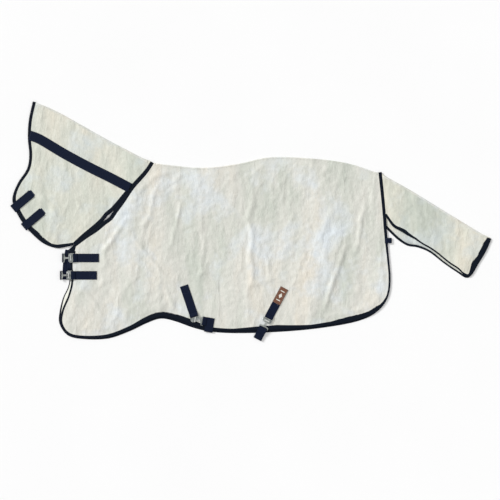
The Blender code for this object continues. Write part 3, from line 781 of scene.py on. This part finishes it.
def look_down():
    """The camera straight above the sheet, placed from the body's panel."""
    low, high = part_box("right_body_panel")
    camera = bpy.data.cameras.new("camera")
    camera.lens, camera.sensor_width, camera.clip_end = LENS, 36, 100
    made = added("camera", camera)
    middle = ((low.x + high.x) / 2, (low.y + high.y) / 2)
    made.location = (middle[0] + CAMERA_OFF[0], middle[1] + CAMERA_OFF[1], CAMERA_HEIGHT)
    bpy.context.scene.camera = made


def studio():
    """A pale floor under soft light: an even dome and two broad lamps, the stronger from the upper left."""
    height, size = CAD_BOX[0].z, 30.0
    corners = [(x * size, y * size, height) for x, y in ((-1, -1), (1, -1), (1, 1), (-1, 1))]
    piece("floor", corners, [(0, 1, 2, 3)], [floor_stuff("floor")])
    world = bpy.data.worlds.new("studio")
    bpy.context.scene.world = world
    world.use_nodes = True
    world.node_tree.nodes["Background"].inputs["Color"].default_value = WHITE
    world.node_tree.nodes["Background"].inputs["Strength"].default_value = DOME_POWER
    for name, towards, spread_deg, power in LAMPS:
        lamp = bpy.data.lights.new(name, "SUN")
        lamp.energy, lamp.angle = power, radians(spread_deg)
        added(name, lamp).rotation_euler = Vector(towards).to_track_quat("Z", "Y").to_euler()
    bpy.context.scene.view_settings.view_transform = "Standard"


# Pieces ----------------------------------------------------------------------

def hinge(name):
    """A joint's place and axis, and the direction along the floor square to it."""
    found = next(j for j in frame["joints"] if j["name"] == name)
    place = Vector(found["pos_m"])
    axis = Vector(found["axis"]).normalized()
    return place, axis, Vector((0, 0, 1)).cross(axis)


def bend(made, a, b, joint, before, after):
    """Bake a piece's transform where it stands; nothing is blended across the joint. The distances before and
    after are not used.
    """
    place, _, square = hinge(joint)
    low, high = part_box(SAMPLE[b])
    if ((low + high) / 2 - place).dot(square) < 0:
        square = -square
    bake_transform(made)


SAMPLE = {"neck_cover": "left_neck_panel", "tail_flap": "left_tail_panel", "left_skirt": "left_skirt_panel"}
NECK_BEND = ("root", "neck_cover", "neck_fold", 0.0, 0.032)
TAIL_BEND = ("root", "tail_flap", "tail_flap_fold", 0.0, 0.040)
SKIRT_BEND = ("root", "left_skirt", "left_skirt_lift", 0.022, 0.060)

# Folds: where each starts and ends as shares of the cloth's box, its height and its width.
BODY_FOLDS = (
    ((0.425, 0.92), (0.430, 0.16), 0.008, 0.020), ((0.580, 0.95), (0.575, 0.10), 0.008, 0.026),
    ((0.815, 0.90), (0.805, 0.20), 0.008, 0.028), ((0.880, 0.62), (0.790, 0.08), 0.009, 0.016),
    ((0.310, 0.30), (0.370, 0.06), 0.008, 0.010), ((0.205, 0.68), (0.110, 0.40), 0.007, 0.014),
    ((0.150, 0.27), (0.220, 0.18), 0.006, 0.010), ((0.300, 0.88), (0.240, 0.50), 0.006, 0.020),
    ((0.660, 0.30), (0.720, 0.08), 0.006, 0.014), ((0.500, 0.36), (0.470, 0.06), 0.005, 0.014),
    ((0.375, 0.80), (0.330, 0.48), 0.006, 0.009), ((0.200, 0.60), (0.330, 0.30), 0.006, 0.011),
    ((0.930, 0.80), (0.900, 0.45), 0.006, 0.014), ((0.700, 0.86), (0.690, 0.45), 0.005, 0.020),
    ((0.060, 0.30), (0.130, 0.10), 0.006, 0.011), ((0.620, 0.50), (0.640, 0.20), 0.005, 0.014),
)
NECK_FOLDS = (
    ((0.30, 0.85), (0.62, 0.30), 0.006, 0.014), ((0.10, 0.48), (0.40, 0.12), 0.006, 0.011),
    ((0.62, 0.62), (0.80, 0.20), 0.006, 0.011), ((0.05, 0.80), (0.25, 0.55), 0.005, 0.009),
    ((0.40, 0.55), (0.52, 0.16), 0.006, 0.009), ((0.18, 0.92), (0.50, 0.66), 0.004, 0.009),
)
TAIL_FOLDS = (
    ((0.02, 0.90), (0.14, 0.62), 0.007, 0.007), ((0.10, 0.86), (0.50, 0.44), 0.006, 0.009),
    ((0.30, 0.72), (0.70, 0.36), 0.005, 0.008), ((0.60, 0.44), (0.92, 0.16), 0.005, 0.008),
    ((0.05, 0.74), (0.20, 0.50), 0.005, 0.006),
)
TAPE_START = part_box("tail_seam")[0].xy + Vector((0, 0.4))    # each tape runs from its end nearest here

# How each tape differs from its CAD binding: its width there, its shift inwards, and its length past both
# ends. Each (place, value) mark gives a place as a share of the tape's length.
HEM_EDGE = {
    "widths": ((0, 1.1), (0.10, 1.0), (0.15, 0.65), (0.225, 0.6), (0.245, 1.0), (0.268, 2.5), (0.30, 2.3),
               (0.34, 1.0), (0.38, 0.75), (0.44, 1.5), (0.48, 1.2), (0.52, 0.65), (0.56, 0.8), (0.60, 1.5),
               (0.66, 1.6), (0.71, 1.1), (0.80, 0.75), (0.83, 0.9), (0.86, 0.7), (0.90, 0.6), (0.974, 0.7),
               (0.982, 2.1), (1, 2.3)),
    "openings": ((0, 0), (0.976, 0), (0.984, -0.042), (1, -0.046)),
    "ends": (0.014, 0.024)}
UNDER_EDGE = {
    "widths": ((0, 1), (0.05, 0.4), (0.22, 0.4), (0.26, 1), (0.80, 1), (0.84, 0.6), (0.885, 0.5),
               (0.905, 0.3), (0.965, 0.3), (0.985, 1), (1, 1))}
NECK_SEAM = {
    "widths": ((0, 0.6), (0.25, 0.7), (0.40, 1.05), (0.60, 1.35), (0.78, 1.2), (1, 0.75)),
    "openings": ((0, 0), (0.54, 0), (0.61, 0.006), (0.68, 0), (1, 0)),
    "ends": (0.004, 0.020)}
TAIL_EDGE = {
    "widths": ((0, 0.7), (0.10, 0.9), (0.18, 1.2), (0.24, 0.7), (0.30, 0.5), (0.66, 0.5), (0.72, 1.1),
               (0.79, 2.1), (0.92, 2.3), (1, 1.3)),
    "openings": ((0, 0), (0.08, 0), (0.14, 0.004), (0.20, 0), (0.27, 0.006), (0.34, 0.003), (0.46, 0.006),
                 (0.56, 0.002), (0.62, 0.004), (0.68, 0), (1, 0)),
    "ends": (0.024, 0.004)}
THROAT_EDGE = {
    "widths": ((0, 0.8), (0.07, 1.2), (0.12, 1.0), (0.20, 1.9), (0.28, 1.5), (0.40, 1.4), (0.50, 0.9),
               (1, 1.0))}
UNDER_TAIL = {
    "widths": ((0, 0.8), (0.30, 0.7), (0.5, 0.5), (0.66, 0.6), (0.72, 1), (1, 1)),
    "ends": (0.034, 0.004)}
LEFT_BODY = ["left_back_panel", "left_skirt_panel"]
BODY_EDGES = {"left_edge": ["left_rear_binding", "left_skirt_binding", "left_front_binding"],
              "right_edge": ["right_body_binding"]}
NECK_STRAPS = ("left_neck_band", "throat_strap_upper", "throat_strap_lower", "throat_patch_upper",
               "throat_patch_lower")
CHEST_STRAPS = ("left_chest_strap_upper", "left_chest_strap_lower", "left_chest_facing")
SURCINGLES = ("left_surcingle_front", "left_surcingle_rear", "right_surcingle_front", "right_surcingle_rear")


def cut_of(nodes):
    """The outline of a panel, or of two that share a straight cut."""
    lines = [outline(node) for node in nodes]
    return joined(*lines) if len(lines) > 1 else lines[0]


def cloth(name, nodes, seam, bodies, below, grid, finish, folds, size, seed, straps=(), levels=1, cap=0.007,
          slack=0.004):
    """One layer of mesh cloth: cut to its outline, settled, thickened, and its CAD nodes hidden."""
    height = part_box(nodes[0])[0].z + LAYER_RISE
    line = grown(cut_of(nodes), seam)
    made = spread(name, line, grid, height, finish, folds_on(line, folds, size, seed, straps))
    if slack:
        points = places_of(made.data)[:, :2].astype(float)
        edge = distance_to(points, rows_of(line))
        settle(made, freedom(points, edge, straps), slack, height - 0.0011, cap)
    thicken(made, levels)
    settle_on(made, nodes, bodies)


def under_cloth(part, seam, bodies, size, seed):
    """One layer of the right half, flat on the floor."""
    cloth("right_" + part + "_cloth", ["right_" + part + "_panel"], seam, bodies, "floor", RIGHT_GRID,
          UNDER_MESH, (), size, seed, levels=0, slack=0)


def cloths():
    """The six layers of mesh cloth."""
    under_cloth("body", "back_seam", None, 0.0005, 3.3)
    cloth("left_body_cloth", LEFT_BODY, "back_seam", SKIRT_BEND, "right_body_cloth", LEFT_GRID, BODY_MESH,
          BODY_FOLDS, 0.0016, 1.3, CHEST_STRAPS + SURCINGLES, cap=0.013, slack=0.006)
    under_cloth("neck", "crest_seam", NECK_BEND, 0.0004, 5.1)
    cloth("left_neck_cloth", ["left_neck_panel"], "crest_seam", NECK_BEND, "right_neck_cloth", SMALL_GRID,
          NECK_MESH, NECK_FOLDS, 0.0012, 8.2, NECK_STRAPS, cap=0.009)
    under_cloth("tail", "tail_seam", TAIL_BEND, 0.0004, 7.7)
    cloth("left_tail_cloth", ["left_tail_panel"], "tail_seam", TAIL_BEND, "right_tail_cloth", SMALL_GRID,
          TAIL_MESH, TAIL_FOLDS, 0.0010, 9.4, cap=0.008)


def bindings():
    """The dark tape folded over every edge, and the rolled seams along the top."""
    for name, panels, bodies, shape in (
            ("left_edge", LEFT_BODY, SKIRT_BEND, HEM_EDGE),
            ("left_neckline", LEFT_BODY, None, NECK_SEAM),
            ("right_edge", ["right_body_panel"], None, UNDER_EDGE),
            ("right_neckline", ["right_body_panel"], None, NECK_SEAM),
            ("left_neck_front", ["left_neck_panel"], NECK_BEND, THROAT_EDGE),
            ("right_neck_front", ["right_neck_panel"], NECK_BEND, {}),
            ("left_neck_rear", ["left_neck_panel"], NECK_BEND, NECK_SEAM),
            ("right_neck_rear", ["right_neck_panel"], NECK_BEND, NECK_SEAM),
            ("left_tail", ["left_tail_panel"], TAIL_BEND, TAIL_EDGE),
            ("right_tail", ["right_tail_panel"], TAIL_BEND, UNDER_TAIL)):
        nodes = BODY_EDGES.get(name, [name + "_binding"])
        settle_on(tape(name + "_tape", nodes, cut_of(panels), **shape), nodes, bodies)
    for part, panels, bodies in (("back", LEFT_BODY, None), ("crest", ["left_neck_panel"], NECK_BEND),
                                 ("tail", ["left_tail_panel"], TAIL_BEND)):
        node = part + "_seam"
        settle_on(seam_roll(part + "_spine", node, cut_of(panels)), [node], bodies)


def settle_on(made, nodes, bodies):
    """Ride a piece on a body, or bake its transform, and hide the nodes it stands for."""
    if bodies is None:
        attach(made, "root")
    elif isinstance(bodies, str):
        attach(made, bodies)
    else:
        bend(made, *bodies)
    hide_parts(*nodes)


def flat_bands():
    """The navy band on each side of the neck and the facings of the chest."""
    for side in SIDES:
        node = side + "_neck_band"
        one, other = rails(outline(node))
        one, other = ([a + (a - b) * BAND_SPREAD for a, b in zip(one, other)],
                      [b + (b - a) * BAND_SPREAD for a, b in zip(one, other)])
        settle_on(band(side + "_neck_stripe", one, other, node), [node], NECK_BEND)
        node = side + "_chest_facing"
        settle_on(band(side + "_chest_patch", *rails(outline(node)), node), [node], None)


def band(name, one, other, node, finishes=(WEBBING, NAVY_THREAD), step=0.006):
    """A flat band between two rails, stitched along both sides and both ends."""
    low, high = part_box(node)
    places, first, last = resampled(one, other, step)
    thick = high.z - low.z
    profile = [(0, 0.5), (0.012, 0.9), (0.05, 1.0), (0.09, 0.84), (0.3, 0.93), (0.7, 0.93), (0.91, 0.84),
               (0.95, 1.0), (0.988, 0.9), (1, 0.5), (0.988, 0.1), (0.5, 0.0), (0.012, 0.1)]
    rings, uvs = [], []
    for at, a, b in zip(places, first, last):
        wander = 0.0002 * noise.noise(Vector((at * 11, low.z * 90, 0.4)))
        rings.append([(*(a + (b - a) * s), low.z + thick * h + wander) for s, h in profile])
        uvs.append([(at, s * float(norm(b - a))) for s, _ in profile])
    top = high.z - thick * 0.08
    rows = [[(*(a + (b - a) * s), top) for a, b in zip(first, last)] for s in STITCHED]
    for a, b in ((first[0], last[0]), (first[-1], last[-1])):
        rows.append([(*(a + (b - a) * s), top) for s in STITCHED])
    return with_stitches(name, sweep(rings, uvs), rows, finishes)


def ordered(node, towards=None):
    """A webbing node read as a strap, its path running towards a place."""
    path, across, width, thickness = strap(node)
    path = [np.array(p) for p in path]
    if towards is not None and norm(path[0] - towards) < norm(path[-1] - towards):
        path = path[::-1]
    return path, across, width, thickness


def centre(name):
    """The middle of a node's box."""
    low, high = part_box(name)
    return np.array((low + high) / 2)


def webbing_piece(name, nodes, read, bodies, sewn=0.0):
    """A strap that stands for webbing nodes, box-stitched at the end of its path if it is sewn there."""
    path, across, width, thickness = read
    rows = []
    if sewn:
        run = path[-2] - path[-1]
        run = run / norm(run)
        side = np.array(across)
        corner = path[-1] + run * SEW_MARGIN - side * (width / 2 - SEW_MARGIN)
        rows = box_stitch(corner, run, side, sewn - 2 * SEW_MARGIN, width - 2 * SEW_MARGIN,
                          path[-1][2] + thickness * 0.46)
    made = ribbon(name, path, across, width, thickness, rows)
    if isinstance(bodies, str):
        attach(made, bodies)
    else:
        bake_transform(made)
    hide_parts(*nodes)


def between(start, end, share):
    """A place on the way from one to another."""
    return tuple(start + (end - start) * share)


def straps():
    """Every webbing strap, with its sewn ends."""
    for which in ("upper", "lower"):
        node = "left_chest_strap_" + which
        inland = centre(node) + np.array((0.5, 0, 0))
        webbing_piece("left_chest_web_" + which, [node], ordered(node, inland), "root", sewn=0.045)
        node = "right_chest_strap_" + which
        read = ordered(node, inland)
        start, end = (between(read[0][0], read[0][-1], share) for share in (0.10, 0.30))
        webbing_piece("right_chest_web_" + which, [node], read,
                      ("chest_" + which + "_plate", "root", start, end))
        hook_web("chest_" + which)
        throat_web(which)
    for which in ("front", "rear"):
        node = "left_surcingle_" + which
        inland = 2 * centre(node) - centre("surcingle_" + which + "_plate")
        webbing_piece("left_surcingle_web_" + which, [node], ordered(node, inland), "left_skirt", sewn=0.05)
        surcingle_tail(which)
        hook_web("surcingle_" + which)
    above = centre("left_back_panel") + np.array((0, 0, 1))
    webbing_piece("tail_cord_web", ["tail_cord_loop"], ordered("tail_cord_loop", above), "root", sewn=0.016)


def hook_web(name):
    """The webbing looped on a hook's bar."""
    node, plate = name + "_hook_webbing", name + "_plate"
    middle = centre(node)
    away = middle - centre(plate)
    webbing_piece(name + "_hook_web", [node], ordered(node),
                  (name + "_hook", plate, tuple(middle), between(middle, middle + away, 0.5)))


def surcingle_tail(which):
    """The right half's surcingle, as two pieces: its top run and its folded end."""
    node, plate = "right_surcingle_" + which, "surcingle_" + which + "_plate"
    path, across, width, thickness = ordered(node)
    if path[0][2] < path[-1][2]:
        path = path[::-1]
    turn = len(path) // 2
    top, tucked = path[:turn + 1], path[turn:]
    webbing_piece("surcingle_top_web_" + which, [node], (top, across, width, thickness),
                  (plate, "left_skirt", between(top[0], top[-1], 0.35), tuple(top[1])))
    webbing_piece("surcingle_tucked_web_" + which, [node], (tucked, across, width, thickness),
                  ("left_skirt", "root", tuple(tucked[-2]), tuple(tucked[-1])))


def throat_web(which):
    """A throat strap: the part that wraps the throat edge, and its free end."""
    node, free = "throat_base_" + which, "throat_strap_" + which
    base, across, width, thickness = ordered(node)
    if base[0][2] > base[-1][2]:
        base = base[::-1]
    run = (base[-1] - base[-2]) / norm(base[-1] - base[-2])
    end = base[-1] + run * strap(free)[2]
    turn = len(base) // 2
    webbing_piece("throat_wrap_" + which, [node], (base[:turn + 1], across, width, thickness), "neck_cover")
    webbing_piece("throat_web_" + which, [node, free], (base[turn:] + [end], across, width, thickness),
                  ("neck_cover", free, tuple(base[-1] - run * 0.008), tuple(base[-1] + run * 0.012)))


def patches():
    """Hook-and-loop patches under the throat straps, and the label on the rear surcingle."""
    for which in ("upper", "lower"):
        node = "throat_patch_" + which
        pad = band("throat_pad_" + which, *rails(outline(node)), node, (PATCH, NAVY_THREAD))
        settle_on(pad, [node], "neck_cover")
    label()


LABEL_MARK = (            # corners of the print, along and across the label from its middle
    ((-0.016, 0), (0, 0.010), (0.016, 0), (0, -0.010)),
    ((-0.030, -0.012), (-0.030, 0.012), (-0.025, 0.012), (-0.025, -0.012)),
    ((0.025, -0.012), (0.025, 0.012), (0.030, 0.012), (0.030, -0.012)),
)


def label():
    """A sewn label with a plain lozenge between two bars."""
    node = "surcingle_label"
    one, other = rails(outline(node))
    settle_on(band("label_plate", one, other, node, (LABEL, CREAM_THREAD)), [node], "left_skirt")
    ends = [(one[0] + other[0]) / 2, (one[-1] + other[-1]) / 2]
    run = (ends[1] - ends[0]).normalized()
    side = Vector((-run.y, run.x))
    middle = (ends[0] + ends[1]) / 2
    low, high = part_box(node)
    base = high.z - (high.z - low.z) * 0.1
    verts, faces = [], []
    for shape in LABEL_MARK:
        start = len(verts)
        for lift in (0, 0.0004):
            verts += [(*(middle + run * x + side * y), base + lift) for x, y in shape]
        faces.append(tuple(start + 4 + k for k in range(4)))
        faces += [(start + k, start + (k + 1) % 4, start + 4 + (k + 1) % 4, start + 4 + k) for k in range(4)]
    mark = piece("label_mark", verts, faces, [WHITE_PRINT], smooth=False)
    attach(mark, "left_skirt")


def closures():
    """The metal plates and hooks keep their CAD shapes, with softened edges."""
    for name in ("chest_upper", "chest_lower", "surcingle_front", "surcingle_rear"):
        for kind in ("_plate", "_hook"):
            node = NODES[name + kind]
            node.data.materials.clear()
            node.data.materials.append(METAL)
            weld = node.modifiers.new("weld", "WELD")
            weld.merge_threshold = 1e-6
            edge = node.modifiers.new("edge", "BEVEL")
            edge.width, edge.segments, edge.limit_method = 0.0005, 2, "ANGLE"
            edge.angle_limit = radians(35)


look_down()
studio()
cloths()
bindings()
flat_bands()
straps()
patches()
closures()
